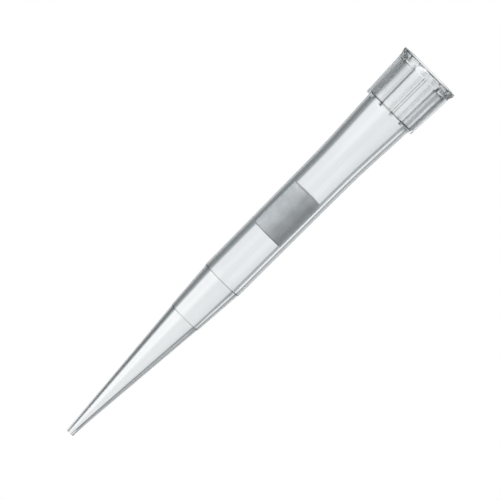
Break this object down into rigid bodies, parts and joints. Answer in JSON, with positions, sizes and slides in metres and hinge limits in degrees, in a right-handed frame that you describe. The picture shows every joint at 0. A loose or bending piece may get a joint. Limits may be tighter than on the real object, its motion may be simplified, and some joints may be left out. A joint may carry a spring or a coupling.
{
  "type": "filter pipette tip",
  "caption": "Clear tapered pipette tip with a ribbed, flared collar, two fine volume marks and a sintered filter plug inside its barrel.",
  "frame": {"origin": "centre of the collar's rim, on the plane that the tip stands on", "axes": "+Z along the tip's axis, from the collar's open end to the point; a rib of the collar is centred on +X"},
  "size_m": [0.008, 0.008, 0.059],
  "materials": {
    "clear_polypropylene": "clear, smooth moulded polypropylene, see-through",
    "sintered_polyethylene": "porous sintered polyethylene, fine matt grain"
  },
  "bodies": {
    "root": {"tip_body": "clear_polypropylene", "filter_plug": "sintered_polyethylene"}
  },
  "joints": []
}
